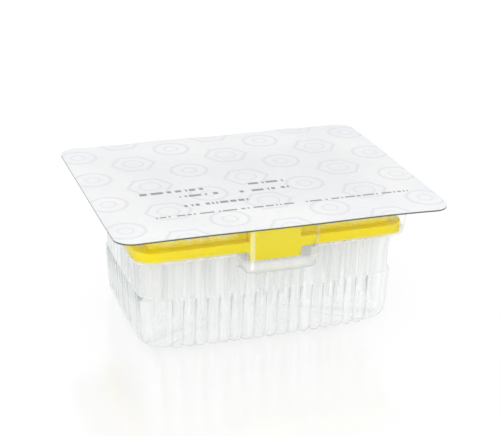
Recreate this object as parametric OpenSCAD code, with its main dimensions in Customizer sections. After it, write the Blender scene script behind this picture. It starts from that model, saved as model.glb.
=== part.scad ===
// Refill pack of filter pipette tips: a clear formed tray with fluted walls,
// a sealed lidding sheet, a coloured carrier plate and 96 filter tips.
// Millimetres. The origin is the middle of the tray's floor, +Z is up and
// the pocket of the tray faces -Y. The tray, its flange and the plate are
// sized from the grid of tips and from the rooms and gaps round it.

/* [Tips] */
// Spacing of the tips
tip_pitch = 9; // [8.6:0.02:9.4]
// Rows of tips across the tray
tip_rows = 8; // [7:1:9]
// Length of a tip
tip_len = 50; // [48:0.5:52]
// Length of the tip's head, above the deck
head_len = 5.6; // [4.6:0.1:6.4]
// Outer radius of the head
head_r = 3.3; // [3.2:0.05:3.5]
// Outer radius of the tip just under its head
neck_r = 2.85; // [2.7:0.05:2.95]
// Outer radius of the tip just above its shoulder
shoulder_r = 2.35; // [2.25:0.05:2.5]
// Outer radius of the tip just below its shoulder
cone_r = 2.05; // [1.8:0.05:2.15]
// Distance from the tip's end up to its shoulder
shoulder_h = 29; // [27:0.5:31]
// Outer radius of the tip at its end
end_r = 0.8; // [0.7:0.05:1]
// Thickness of the tip's wall
tip_wall = 0.45; // [0.35:0.05:0.55]
// Gap between a tip and its hole in the deck
hole_gap = 0.12; // [0.08:0.02:0.2]
// Number of ribs round the head
head_ribs = 6; // [4:1:8]
// How far the ribs stand out
rib_out = 0.35; // [0.2:0.05:0.4]

/* [Filter] */
// Length of the filter
filter_len = 6; // [4:0.5:7]
// Distance from the top of the tip down to its filter
filter_down = 9; // [8:0.5:10]
// Gap between the filter and the tip's bore
filter_gap = 0.03; // [0.02:0.01:0.06]

/* [Tray] */
// Height of the tray, from its floor to the top of the flange
tray_h = 61.6; // [58:0.2:70]
// Thickness of the formed wall
wall = 0.5; // [0.4:0.05:0.8]
// Distance from the end columns of tips to the wall at its step
end_room = 8.4; // [8:0.1:9.4]
// Distance from the outer rows of tips to the wall at its step
side_room = 5.8; // [5.4:0.1:7]
// Corner radius of the walls
tray_corner = 9; // [7:0.5:10]
// How far each wall leans in from the step down to the floor
draft = 0.9; // [0.4:0.1:1.2]
// How far the long walls bulge out in the middle
long_bulge = 1.6; // [0.6:0.1:2]
// How far the short walls bulge out in the middle
short_bulge = 0.4; // [0.2:0.1:0.8]
// Radius of the edge round the floor
floor_round = 5.5; // [4:0.5:6.5]
// Height of the step that closes the flutes
step_z = 24; // [20:0.5:27]
// How far the wall above the step stands back
step_in = 0.8; // [0.4:0.1:1.2]
// How far the shelf that carries the plate lies below the flange's top
shelf_down = 18.2; // [17.8:0.1:19.4]
// How far the wall flares out under the shelf
flare = 1.6; // [1:0.1:2]
// Width of the shelf
shelf_w = 3.2; // [2.8:0.1:4]
// How far the wall above the shelf leans out up to the flange
upper_draft = 1.3; // [0.6:0.1:2]

/* [Flutes] */
// Number of flutes in each long wall
long_flutes = 17; // [13:2:17]
// Number of flutes in each short wall
short_flutes = 11; // [9:2:11]
// Plain wall between a long wall's corner and its first flute
long_plain = 3.4; // [2.6:0.1:5]
// Plain wall between a short wall's corner and its first flute
short_plain = 0.5; // [0.4:0.1:1.5]
// Depth of the valleys between the flutes
flute_depth = 1.45; // [1.1:0.05:1.6]
// Number of tall flutes, under the pocket
tall_flutes = 5; // [1:2:5]

/* [Pocket] */
// Width of the pocket at its floor
pocket_wid = 32.4; // [30:0.2:36]
// How far the pocket stands out in front of the shelf, at its floor
pocket_out = 7.9; // [6.4:0.1:11]
// How far the pocket's floor lies below the flange's top
pocket_down = 24.6; // [23.6:0.2:26]
// Corner radius of the pocket
pocket_corner = 4.2; // [3:0.2:5]
// How far each side of the pocket leans out up to the flange
pocket_draft = 2; // [1:0.1:3]

/* [Sheet and flange] */
// How far the flange reaches past the wall at each end
flange_end = 9.5; // [6:0.5:16]
// How far the flange reaches past the wall along each side
flange_side = 16.2; // [13:0.2:22]
// Corner radius of the sheet and the flange
flange_corner = 8; // [3:0.5:14]
// Thickness of the flange
flange_t = 0.6; // [0.4:0.05:1.2]
// Thickness of the lidding sheet
lid_t = 0.3; // [0.15:0.05:0.6]

/* [Plate] */
// Gap between the plate's rim and the tray's wall
rim_gap = 1; // [0.5:0.1:1.4]
// Width of the rim at each end of the plate
rim_end = 5.8; // [5:0.1:6.4]
// Width of the rim along each side of the plate
rim_side = 3.8; // [3:0.1:4.2]
// Height of the rim above the shelf
rim_h = 4.4; // [3.6:0.2:5.4]
// Height of the deck above the shelf
deck_h = 10; // [8.8:0.2:11]
// Thickness of the deck
deck_t = 1.6; // [1.2:0.1:2]
// Thickness of the plate's walls
plate_t = 1.2; // [0.9:0.1:1.4]
// Width of the tab that hangs in the pocket
tab_wid = 23; // [18:0.5:25]
// How far the tab hangs below the rim
tab_drop = 4.4; // [3:0.2:4.6]
// Radius of the fillets between the tab and the rim
tab_fillet = 1.6; // [0.8:0.1:2]

/* [Hidden] */
$fn = 48;

// Columns of tips along the tray. Each has a node of its own.
tip_cols = 12;

// Half sizes of the tray at its step, of the wall above it, and of the shelf
base_x = (tip_cols - 1) / 2 * tip_pitch + end_room;
base_y = (tip_rows - 1) / 2 * tip_pitch + side_room;
waist_x = base_x - step_in;
waist_y = base_y - step_in;
shelf_out = flare + shelf_w;
shelf_x = waist_x + shelf_out;
shelf_y = waist_y + shelf_out;
flange_x = shelf_x + upper_draft + flange_end;
flange_y = shelf_y + upper_draft + flange_side;
pocket_y = shelf_y + pocket_out;

// Heights
shelf_z = tray_h - shelf_down;
pocket_z = tray_h - pocket_down;
deck_top = shelf_z + deck_h;
tip_z = deck_top + head_len - tip_len;

// Half of the fluted stretch of each wall, and the spacing of its flutes
long_fluted = base_x - draft - tray_corner - long_plain;
short_fluted = base_y - draft - tray_corner - short_plain;
long_pitch = 2 * long_fluted / long_flutes;
short_pitch = 2 * short_fluted / short_flutes;

// Half sizes of the plate, at its rim and inside it
rim_x = shelf_x - wall - rim_gap;
rim_y = shelf_y - wall - rim_gap;
plate_x = rim_x - rim_end;
plate_y = rim_y - rim_side;

// Steps in each flute's arc and in each corner of a ring
flute_points = 4;
corner_steps = 5;
// Share of its pitch that a flute's arc takes
flute_share = 0.96;
// How much narrower a flute is inside, on each side, in wall thicknesses
inner_share = 0.6;
// Plain wall kept beside the last flute
flute_end = 0.3;
// Depth of the valleys where they run out under the floor's round edge
foot_depth = 0.4;
// Share of the floor's rounding by which the flutes stand out of it
foot_share = 0.45;
// Half of the height over which the flutes close at the step
close_h = 0.5;
// How much lower they start to close inside, in wall thicknesses
close_share = 0.8;
// How far they still stand back once closed
close_in = 0.1;
// How far the ledge on the flutes laps the foot of the wall above, up and in
lap_up = 0.3;
lap_in = 0.2;
// How far the tall flutes stay behind the flutes below them
tall_back = 0.05;
// Share of the way from the step up to the shelf at which the flare starts
flare_from = 0.31;
flare_z = step_z + flare_from * (shelf_z - step_z);
// Share of the walls' bulge that is left above the shelf
upper_share = 0.5;
// Radius where the shelf turns up, and its start past the flare
shelf_round = 0.8;
shelf_start = 0.3;
// The shelf falls this much towards the inside
shelf_fall = 0.02;
// Radius round the pocket's floor, and the height kept under it
pocket_round = 1.6;
pocket_under = 0.3;
// How far the pocket's front bulges, and its lean as a share of the sides'
pocket_bulge = 0.4;
front_share = 0.25;
// Corner radii of the plate, at its rim, where it follows the inside of the
// tray, and inside it, and the rim's thickness
rim_corner = tray_corner - wall;
plate_corner = 3;
rim_t = 1.4;
// Height over which a tip's shoulder narrows, and the ribs' share of its head
shoulder_fall = 0.3;
rib_share = 0.6;
// How far a cut runs past the faces it opens
over = 1;

// ---- Outlines -------------------------------------------------------------

// How far a wall bulges out at x along a side of the given half length
function bow(x, half, bulge) = bulge * (1 - pow(x / half, 2));

// Height of an arc of half width w and depth d over its ends, at u from -1 to 1
flat_arc = 0.01;
function swell(u, w, d) = d < flat_arc ? 0 :
  let (r = (w * w + d * d) / (2 * d)) sqrt(r * r - pow(w * u, 2)) - r + d;

// Points of "count" flutes in a side that faces -Y: "valley" and "peak" are the
// distances of their valleys and crests from the middle of the tray
function flutes(count, pitch, half, bulge, valley, peak, t) =
  let (w = flute_share * pitch / 2 - inner_share * t)
  [for (i = [0 : count - 1]) for (j = [0 : flute_points])
    let (u = 2 * j / flute_points - 1, x = (i - (count - 1) / 2) * pitch + w * u)
    [x, -valley - bow(x, half, bulge) - swell(u, w, peak - valley)]];

// The points of a corner, without its two ends
function corner(cx, cy, r, from) = [for (i = [1 : corner_steps - 1])
  let (a = from + 90 * i / corner_steps) [cx + r * cos(a), cy + r * sin(a)]];

// Points turned by the angle a round the middle of the tray
function turned(points, a) = [for (p = points)
  [p[0] * cos(a) - p[1] * sin(a), p[0] * sin(a) + p[1] * cos(a)]];

// A ring: four sides that face -Y, turned into place and joined by corners. A
// side's first and last points are the ends of the corners beside it.
function closed(front, right, back, left, cx, cy, r) = concat(
  front, corner(cx, -cy, r, 270), turned(right, 90), corner(cx, cy, r, 0),
  turned(back, 180), corner(-cx, cy, r, 90), turned(left, 270), corner(-cx, -cy, r, 180));

// Triangles between rings of n points. With "caps" the first and the last ring
// are closed by flat faces, and without it the last ring meets the first.
module loft(rings, caps) {
  n = len(rings[0][1]);
  m = len(rings);
  polyhedron(
    [for (ring = rings) for (p = ring[1]) [p[0], p[1], ring[0]]],
    concat(
      caps ? [[for (i = [0 : n - 1]) i], [for (i = [n - 1 : -1 : 0]) (m - 1) * n + i]] : [],
      [for (k = [0 : m - (caps ? 2 : 1)]) for (i = [0 : n - 1])
        let (a = k * n, b = (k + 1) % m * n, j = (i + 1) % n)
        [a + i, b + i, b + j, a + j]]));
}

// ---- Tray -----------------------------------------------------------------

// A ring of the fluted part at z. Its plain wall, its flutes' valleys and their
// crests stand this far inside the wall's line at the step, and the whole ring
// stands t further in.
function cup_ring(z, plain, valley, peak, t) =
  let (r = tray_corner - t, cx = base_x - plain - t - r, cy = base_y - plain - t - r,
    long = cup_side(cx, base_y - t, long_bulge, plain, valley, peak, t,
      long_flutes, long_pitch, long_fluted),
    short = cup_side(cy, base_x - t, short_bulge, plain, valley, peak, t,
      short_flutes, short_pitch, short_fluted))
  [z, closed(long, short, long, short, cx, cy, r)];

// One side of that ring: a plain end, the flutes and the other plain end
function cup_side(half, edge, bulge, plain, valley, peak, t, count, pitch, fluted) =
  let (f = fluted + flute_end, y = plain - edge - bow(f, half, bulge))
  concat([[-half, plain - edge], [-f, y]],
    flutes(count, pitch, half, bulge, edge - valley, edge - peak, t),
    [[f, y], [half, plain - edge]]);

// Rings of the fluted part, from the floor up, for the outside with t = 0 and
// for the inside with t = the wall's thickness
function cup_rings(t, steps) = concat(
  [for (i = [0 : steps])
    let (a = 90 * i / steps, in = (floor_round - t) * (1 - sin(a)) + draft)
    cup_ring(t + (floor_round - t) * (1 - cos(a)), in, in + (i == 0 ? foot_depth : flute_depth),
      in - (i == 0 ? 0 : floor_round * foot_share * (1 - sin(a))), t)],
  [cup_ring(step_z - close_h - close_share * t, 0, flute_depth, 0, t),
    cup_ring(step_z + close_h - close_h * t / wall, close_in, step_in, close_in, t)]);

// A ring with no flutes, which stands "in" inside the wall's line at the step
function plain_ring(z, in, t) = cup_ring(z, in, in, in, t);

// The ledge on top of the flutes, which the wall above stands on
function ledge_rings() = [
  plain_ring(step_z + close_h + lap_up, step_in / 2, 0),
  plain_ring(step_z + close_h + lap_up, step_in + lap_in, wall),
  plain_ring(step_z + lap_up, step_in + lap_in, wall)];

// The rings of the inside run down again
function reversed(list) = [for (i = [len(list) - 1 : -1 : 0]) list[i]];

// The floor and the fluted part of the walls
module fluted_cup() {
  loft(concat(cup_rings(0, 3), ledge_rings(), reversed(cup_rings(wall, 2))), true);
}

// A ring of the wall above the step, at z, "out" outside the waist and t further
// in, with this share of the walls' bulge. Its front carries the tall flutes,
// or the pocket once "pocket" says how far the pocket's wall is inside its size.
function sleeve_ring(z, out, share, t, pocket) =
  let (r = tray_corner - t, hx = waist_x + out - t, hy = waist_y + out - t,
    cx = hx - r, cy = hy - r, bulge = long_bulge * share,
    long = plain_side(cx, hy, bulge), short = plain_side(cy, hx, short_bulge * share),
    middle = pocket == undef
      ? flutes(tall_flutes, long_pitch, cx, bulge, hy, hy + step_in - tall_back, t)
      : pocket_front(hy + bow(pocket_wid / 2, cx, bulge),
        (z - pocket_z) / (tray_h - pocket_z), t + pocket, pocket_corner - pocket - t))
  [z, closed(concat([long[0], long[1]], middle, [long[3], long[4]]),
    short, long, short, cx, cy, r)];

// A side of five points
function plain_side(half, edge, bulge) =
  [for (i = [-2 : 2]) let (x = half * i / 2) [x, -edge - bow(x, half, bulge)]];

// The pocket's wall at s, from 0 at its floor to 1 at the flange, with as many
// points as the tall flutes have
function pocket_front(edge, s, in, r) =
  let (half = pocket_wid / 2 + pocket_draft * s - in,
    front = pocket_y + front_share * pocket_draft * s - in,
    arc = floor(tall_flutes * (flute_points + 1) / 4),
    flat = tall_flutes * (flute_points + 1) - 2 * arc - 4)
  concat([[-half, -edge]],
    [for (i = [0 : arc]) let (a = 180 + 90 * i / arc)
      [r - half + r * cos(a), r - front + r * sin(a)]],
    [for (i = [1 : flat]) let (x = (half - r) * (2 * i / (flat + 1) - 1))
      [x, -front - bow(x, half - r, pocket_bulge)]],
    [for (i = [0 : arc]) let (a = 270 + 90 * i / arc)
      [half - r + r * cos(a), r - front + r * sin(a)]],
    [[half, -edge]]);

// How far the wall has flared out at z, and the share of its bulge left there
function flare_at(z) = z < flare_z ? 0 : flare * pow((z - flare_z) / (shelf_z - flare_z), 2);
function share_at(z) = 1 - (1 - upper_share) * flare_at(z) / flare;
function waist_ring(z, t, pocket) = sleeve_ring(z, flare_at(z), share_at(z), t, pocket);
function shelf_ring(z, out, t) = sleeve_ring(z, out, upper_share, t, 0);

// Rings of the wall above the step, up to the flange, for one face of the wall
function sleeve_rings(t) =
  let (shelf = shelf_z - wall + t, floor = pocket_z + t, r = pocket_round - t)
  concat(
    [for (z = [step_z + close_h, flare_z, (flare_z + floor) / 2, floor - pocket_under])
      waist_ring(z, t)],
    [for (a = [0, 45, 90]) waist_ring(floor + r * (1 - cos(a)), t, r * (1 - sin(a)))],
    [waist_ring((floor + 2 * shelf) / 3, t, 0),
      shelf_ring(shelf - shelf_fall, flare + shelf_start, t),
      shelf_ring(shelf, shelf_out - shelf_round, t),
      shelf_ring(shelf + shelf_round, shelf_out, t),
      shelf_ring(tray_h - flange_t / 2, shelf_out + upper_draft, t)]);

// The wall above the step, with the pocket and the shelf
module sleeve() {
  loft(concat(sleeve_rings(0), reversed(sleeve_rings(wall))), false);
}

// The flange, open where the wall comes up to it
module flange() {
  translate([0, 0, tray_h - flange_t]) linear_extrude(flange_t) difference() {
    rounded(flange_x, flange_y, flange_corner);
    polygon(shelf_ring(tray_h, shelf_out + upper_draft, wall / 2)[1]);
  }
}

// A rectangle of half sizes hx and hy with rounded corners
module rounded(hx, hy, r) {
  square([2 * hx, 2 * (hy - r)], center = true);
  square([2 * (hx - r), 2 * hy], center = true);
  for (sx = [-1, 1], sy = [-1, 1]) translate([sx * (hx - r), sy * (hy - r)]) circle(r);
}

module tray() {
  color([0.9, 0.93, 0.93, 0.4]) {
    fluted_cup();
    sleeve();
    flange();
  }
}

module lidding_sheet() {
  color([0.96, 0.96, 0.97]) translate([0, 0, tray_h])
    linear_extrude(lid_t) rounded(flange_x, flange_y, flange_corner);
}

// ---- Plate ----------------------------------------------------------------

// Puts its children at every place of a tip
module at_tips() {
  for (c = [0 : tip_cols - 1]) at_column(c) children();
}

// Puts its children at the places of column c
module at_column(c) {
  for (r = [0 : tip_rows - 1])
    translate([(c - (tip_cols - 1) / 2) * tip_pitch, (r - (tip_rows - 1) / 2) * tip_pitch, 0])
      children();
}

// The tab's face, seen from the front, with fillets up to the rim beside it
module tab_face() {
  half = tab_wid / 2;
  low = shelf_z - tab_drop;
  translate([-half, low]) square([tab_wid, deck_top - low]);
  for (s = [-1, 1]) difference() {
    translate([s * half, shelf_z]) square(2 * tab_fillet, center = true);
    translate([s * (half + tab_fillet), shelf_z - tab_fillet]) circle(tab_fillet);
  }
}

// The tab, from the front of the rim back to the plate's front wall
module tab() {
  translate([0, plate_t - plate_y, 0]) rotate([90, 0, 0])
    linear_extrude(rim_y - plate_y + plate_t) tab_face();
}

module tip_plate() {
  low = shelf_z - tab_drop - over;
  color([0.93, 0.83, 0.1, 0.85]) difference() {
    union() {
      translate([0, 0, shelf_z]) linear_extrude(rim_h) rounded(rim_x, rim_y, rim_corner);
      translate([0, 0, shelf_z]) linear_extrude(deck_h) rounded(plate_x, plate_y, plate_corner);
      tab();
    }
    // Under the rim, and under the deck
    translate([0, 0, low]) linear_extrude(shelf_z + rim_h - rim_t - low)
      rounded(rim_x - plate_t, rim_y - plate_t, rim_corner - plate_t);
    translate([0, 0, shelf_z]) linear_extrude(deck_h - deck_t)
      rounded(plate_x - plate_t, plate_y - plate_t, plate_corner - plate_t);
    // Behind the upper part of the tab
    translate([plate_t - tab_wid / 2, plate_t - rim_y, shelf_z])
      cube([tab_wid - 2 * plate_t, rim_side, deck_h - deck_t]);
    at_tips() translate([0, 0, deck_top - deck_t - over])
      cylinder(r = neck_r + hole_gap, h = deck_t + 2 * over);
  }
}

// ---- Tips and filters -----------------------------------------------------

// Radius of the bore above the shoulder, at height h from the tip's end
neck_h = tip_len - head_len;
function bore_r(h) = shoulder_r - tip_wall
  + (neck_r - shoulder_r) * (h - shoulder_h) / (neck_h - shoulder_h);

module tip() {
  translate([0, 0, tip_z]) {
    rotate_extrude() polygon([
      [end_r - tip_wall, 0], [end_r, 0],
      [cone_r, shoulder_h - shoulder_fall], [shoulder_r, shoulder_h],
      [neck_r, neck_h], [head_r, neck_h], [head_r, tip_len],
      [head_r - tip_wall, tip_len], [neck_r - tip_wall, neck_h],
      [shoulder_r - tip_wall, shoulder_h],
      [cone_r - tip_wall, shoulder_h - shoulder_fall]]);
    for (i = [0 : head_ribs - 1]) rotate(i * 360 / head_ribs)
      translate([head_r - tip_wall / 2, -rib_out / 2, neck_h])
        cube([rib_out + tip_wall / 2, rib_out, rib_share * head_len]);
  }
}

module filter() {
  low = tip_len - filter_down - filter_len;
  translate([0, 0, tip_z + low])
    cylinder(r1 = bore_r(low) - filter_gap, r2 = bore_r(low + filter_len) - filter_gap,
      h = filter_len);
}

module tips_column(c) {
  color([0.92, 0.94, 0.95, 0.5]) at_column(c) tip();
}

module filters_column(c) {
  color([0.97, 0.97, 0.96]) at_column(c) filter();
}

tray();
lidding_sheet();
tip_plate();
tips_column(0);  // tips_column_1
tips_column(1);  // tips_column_2
tips_column(2);  // tips_column_3
tips_column(3);  // tips_column_4
tips_column(4);  // tips_column_5
tips_column(5);  // tips_column_6
tips_column(6);  // tips_column_7
tips_column(7);  // tips_column_8
tips_column(8);  // tips_column_9
tips_column(9);  // tips_column_10
tips_column(10);  // tips_column_11
tips_column(11);  // tips_column_12
filters_column(0);  // filters_column_1
filters_column(1);  // filters_column_2
filters_column(2);  // filters_column_3
filters_column(3);  // filters_column_4
filters_column(4);  // filters_column_5
filters_column(5);  // filters_column_6
filters_column(6);  // filters_column_7
filters_column(7);  // filters_column_8
filters_column(8);  // filters_column_9
filters_column(9);  // filters_column_10
filters_column(10);  // filters_column_11
filters_column(11);  // filters_column_12
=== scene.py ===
# %% [markdown]
# # A sealed refill pack of pipette tips
#
# This lesson dresses a refill pack in Blender: a clear tray with fluted walls,
# a yellow plate that carries 96 filter tips, and a printed sheet sealed on top.
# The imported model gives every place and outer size. The tray, the sheet and the
# tips get finer meshes of their own, because the eye sees curves that a model
# for construction can leave plain. The plate and the filters keep their solids
# and get better materials.

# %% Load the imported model
import bpy
import math
import numpy as np
from mathutils import Matrix, Vector


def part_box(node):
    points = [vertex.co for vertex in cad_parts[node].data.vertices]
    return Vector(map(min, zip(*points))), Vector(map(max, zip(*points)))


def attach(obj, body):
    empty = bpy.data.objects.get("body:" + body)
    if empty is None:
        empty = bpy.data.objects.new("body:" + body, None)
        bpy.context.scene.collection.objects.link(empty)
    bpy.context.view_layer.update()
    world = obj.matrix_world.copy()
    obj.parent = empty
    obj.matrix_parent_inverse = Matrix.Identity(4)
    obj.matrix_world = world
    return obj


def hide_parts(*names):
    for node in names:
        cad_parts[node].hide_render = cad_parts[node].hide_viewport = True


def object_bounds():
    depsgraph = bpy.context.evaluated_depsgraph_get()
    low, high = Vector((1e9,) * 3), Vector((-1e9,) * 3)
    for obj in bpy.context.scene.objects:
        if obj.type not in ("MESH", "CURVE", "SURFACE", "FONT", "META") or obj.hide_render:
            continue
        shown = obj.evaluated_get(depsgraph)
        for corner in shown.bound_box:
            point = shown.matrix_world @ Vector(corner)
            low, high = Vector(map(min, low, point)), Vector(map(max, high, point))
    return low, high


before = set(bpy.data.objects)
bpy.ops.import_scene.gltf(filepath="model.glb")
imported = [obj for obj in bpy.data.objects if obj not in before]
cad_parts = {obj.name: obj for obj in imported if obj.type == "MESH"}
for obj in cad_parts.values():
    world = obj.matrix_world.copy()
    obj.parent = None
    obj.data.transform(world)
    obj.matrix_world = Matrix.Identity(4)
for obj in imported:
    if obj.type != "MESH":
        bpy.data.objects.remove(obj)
cad_low, cad_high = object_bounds()
print("packed model, mm:", [round(v * 1000, 1) for v in (*cad_low, *cad_high)])


# %% [markdown]
# ## Sizes
#
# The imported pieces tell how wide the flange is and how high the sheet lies.
# Everything is worked out in millimetres, because the walls of a formed tray are
# thin, and turned into metres when a mesh is made.

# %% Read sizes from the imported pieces
def box_mm(node):
    low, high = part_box(node)
    return np.array(low) * 1000, np.array(high) * 1000


flange_x, flange_y, flange_z = box_mm("tray")[1]
sheet_top = box_mm("lidding_sheet")[1][2]
print("flange", round(flange_x * 2, 1), "x", round(flange_y * 2, 1), "mm at", round(flange_z, 1))
print("top of the sheet at", round(sheet_top, 1), "mm")


# %% [markdown]
# ## Camera
#
# The pack is seen from its front left and a little from above, with a long lens
# that keeps the upright flutes nearly parallel. The camera sits on a sphere
# round a point above the tray's floor: an azimuth, an elevation and a distance,
# all in degrees and millimetres.

# %% Place the camera
azimuth, elevation, roll = map(math.radians, (-19.085, 22.195, 0.878))
distance, slide_right, slide_up = 613.5, 2.02, 15.73
aim = Vector((0, 0, 25))
back = Vector((math.sin(azimuth) * math.cos(elevation),
               -math.cos(azimuth) * math.cos(elevation), math.sin(elevation)))
level = Vector((math.cos(azimuth), math.sin(azimuth), 0))
rise = back.cross(level)
across = level * math.cos(roll) + rise * math.sin(roll)
upward = rise * math.cos(roll) - level * math.sin(roll)
eye = aim + back * distance + level * slide_right + rise * slide_up

camera = bpy.data.objects.new("camera", bpy.data.cameras.new("camera"))
camera.data.sensor_width = 36
camera.data.lens = 97.26
camera.data.clip_start, camera.data.clip_end = 0.05, 50
turn = Matrix((across, upward, back)).transposed().to_4x4()
camera.matrix_world = Matrix.Translation(eye / 1000) @ turn
bpy.context.scene.collection.objects.link(camera)
bpy.context.scene.camera = camera
print("camera at", [round(v) for v in eye], "mm")


# %% [markdown]
# ## Colour and nodes
#
# Colours are written as sRGB hex, the way a colour chart gives them, and one
# function turns them into the linear values that shaders work in. One more
# function adds any node: its inputs are numbers, colours or the outputs of other
# nodes, and its settings are plain attributes.

# %% Two helpers for materials
def colour(code):
    parts = [int(code[i:i + 2], 16) / 255 for i in (1, 3, 5)]
    linear = [c / 12.92 if c <= 0.04045 else ((c + 0.055) / 1.055) ** 2.4 for c in parts]
    return (*linear, 1.0)


def add(material, kind, inputs=(), **settings):
    node = material.node_tree.nodes.new(kind)
    for name, value in settings.items():
        setattr(node, name, value)
    for name, value in dict(inputs).items():
        if isinstance(value, bpy.types.NodeSocket):
            material.node_tree.links.new(value, node.inputs[name])
        else:
            node.inputs[name].default_value = value
    return node


print("mid grey #808080 is", round(colour("#808080")[0], 3), "in linear light")


# %% Start and finish a material
def new_material(name):
    material = bpy.data.materials.new(name)
    material.use_nodes = True
    material.node_tree.nodes.clear()
    return material


def finish_material(material, shader):
    add(material, "ShaderNodeOutputMaterial", {"Surface": shader})
    print("material", material.name, "with", len(material.node_tree.nodes), "nodes")
    return material


# %% [markdown]
# ## Floor
#
# The pack stands on a sheet of white acrylic, lit from below and polished, so it
# shows a faint image of the tray. A mirror with a blurred gloss could do that
# alone, but its image would be as strong far from the pack as near it. Here the
# sheet is frosted further in front, and the image fades out on the way there.
# The index of 2.9 is far above acrylic's 1.49, and gives the image the strength
# it has on such a sheet at this low angle.

# %% Make the floor
floor_half = 4.0                      # half the floor's width, in metres
floor_gap = 0.0002                    # keeps the floor's face clear of the tray's
fade_from, fade_to = -0.06, -0.13     # places in front of the pack, in metres


def make_floor():
    m = new_material("white acrylic floor")
    polished = add(m, "ShaderNodeBsdfPrincipled", {
        "Base Color": colour("#8C8C8C"), "Roughness": 0.14, "IOR": 2.9})
    glow = add(m, "ShaderNodeEmission", {"Color": colour("#FFFFFF"), "Strength": 0.565})
    near = add(m, "ShaderNodeAddShader", {0: polished.outputs[0], 1: glow.outputs[0]})
    frosted = add(m, "ShaderNodeEmission", {"Color": colour("#FFFFFF"), "Strength": 1.0})
    place = add(m, "ShaderNodeTexCoord")
    axes = add(m, "ShaderNodeSeparateXYZ", {"Vector": place.outputs["Object"]})
    fade = add(m, "ShaderNodeMapRange", {
        "Value": axes.outputs["Y"], "From Min": fade_from, "From Max": fade_to,
        "To Min": 0.0, "To Max": 1.0})
    both = add(m, "ShaderNodeMixShader", {
        "Fac": fade.outputs[0], 1: near.outputs[0], 2: frosted.outputs[0]})
    finish_material(m, both.outputs[0])
    mesh = bpy.data.meshes.new("floor")
    s = floor_half
    mesh.from_pydata([(-s, -s, 0), (s, -s, 0), (s, s, 0), (-s, s, 0)], [], [(0, 1, 2, 3)])
    mesh.materials.append(m)
    floor = bpy.data.objects.new("floor", mesh)
    floor.location.z = cad_low.z - floor_gap
    bpy.context.scene.collection.objects.link(floor)


make_floor()


# %% [markdown]
# ## Lamps and world
#
# A clear tray is drawn by what it reflects, so its lamps are large and soft: a
# softbox overhead, a tall strip at the front left that draws a bright line down
# each rounded corner, and a low panel in front that reaches under the flange to
# the plate. An even pale world fills what they leave. The bright line down the
# pocket's left corner is a painted highlight in the tray's haze.

# %% Hang the lamps
def soft_lamp(name, place, size, watts, aim_at=(0, 0, 0.03)):
    data = bpy.data.lights.new(name, "AREA")
    data.shape = "RECTANGLE"
    data.size, data.size_y = size
    data.energy = watts
    lamp = bpy.data.objects.new(name, data)
    lamp.location = place
    lamp.rotation_euler = (Vector(aim_at) - Vector(place)).to_track_quat("-Z", "Y").to_euler()
    bpy.context.scene.collection.objects.link(lamp)
    print("lamp", name, "of", watts, "W")


soft_lamp("overhead softbox", (0.1, 0.2, 1.6), (1.8, 1.8), 3)
soft_lamp("front left strip", (-0.75, -0.75, 0.55), (0.25, 0.9), 2)
soft_lamp("front fill", (-0.35, -1.3, 0.35), (1.2, 0.5), 6)

world = bpy.data.worlds.new("studio")
world.use_nodes = True
world.node_tree.nodes["Background"].inputs["Color"].default_value = colour("#F8F9F9")
world.node_tree.nodes["Background"].inputs["Strength"].default_value = 0.95
bpy.context.scene.world = world
bpy.context.scene.view_settings.view_transform = "Standard"


# %% [markdown]
# ## The tray's skin
#
# A tray like this is drawn from one sheet of warm plastic over a mould, so it is
# modelled as one skin: a stack of closed rings from the floor up to the edge of
# the flange. Every ring has the same number of points, so neighbouring rings
# join with plain four-sided faces. It could be sculpted, or cut with booleans,
# but rings keep the mesh even and let one formula draw every flute. The skin has
# no thickness: half a millimetre wouldn't show, and two faces for each wall
# would make light pass twice as many of them.

# %% Sizes of the formed walls, in millimetres
wall = 0.5                                  # thickness of the formed sheet
base_x, base_y = 57.9, 37.3                 # half sizes at the step
corner_r, floor_round = 9.0, 5.5            # of the walls, and of the floor's edge
draft, upper_draft = 0.9, 1.3               # lean of the lower and the upper wall
step_z, step_in = 24.0, 0.8                 # the step that closes the flutes
long_bulge, short_bulge = 1.6, 0.4          # how far the walls bow out
shelf_z, shelf_w = 43.4, 3.2                # the shelf that carries the plate
flare, flare_z = 1.6, 30.0                  # the wall opens towards the shelf
reach = flare + shelf_w
flange_r = 8.0
print("walls at the step:", round(base_x * 2, 1), "x", round(base_y * 2, 1), "mm")


# %% Sizes of the flutes and the pocket, in millimetres
flute_depth = 1.45
long_flutes, short_flutes = 17, 11          # in each long and each short wall
tall_flutes, pocket_flutes = 5, 7           # under the pocket, and across it
long_plain, short_plain = 3.4, 0.5          # plain wall at each end of a side
long_fluted = base_x - draft - corner_r - long_plain
short_fluted = base_y - draft - corner_r - short_plain
pocket_z, pocket_half, pocket_front = 37.0, 16.2, 49.2
pocket_r, pocket_draft, pocket_round = 4.2, 2.0, 1.6
print("flutes every", round(2 * long_fluted / long_flutes, 2), "mm")


# %% [markdown]
# ## One side of the tray
#
# Seen from above, a flute is a shallow arc, and two arcs meet in a sharp valley.
# Each side is worked out as if it faced the front, from its places along the
# side and its arcs, and later turned to where it belongs. A value for painted
# shade goes along with each point: 1 in a valley, 0 on a crest. The material
# uses it to paint the fine grey line of shade that a fold in clear plastic shows.

# %% Where the points of a side lie
per_flute = 10                # points across one flute
plain_points = 4              # points on the plain wall at each end of a side


def side_places(fluted, count):
    """For each point along a fluted stretch: its place, its share of the
    flute's half width, and how many flutes it is from the middle."""
    pitch = 2 * fluted / count
    xs, us, which = [], [], []
    for i in range(count):
        for j in range(per_flute + (i == count - 1)):
            u = 2 * j / per_flute - 1
            xs.append((i - (count - 1) / 2 + u / 2) * pitch)
            us.append(u)
            which.append(abs(i - (count - 1) / 2))
    return np.array(xs), np.array(us), np.array(which), pitch


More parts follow.
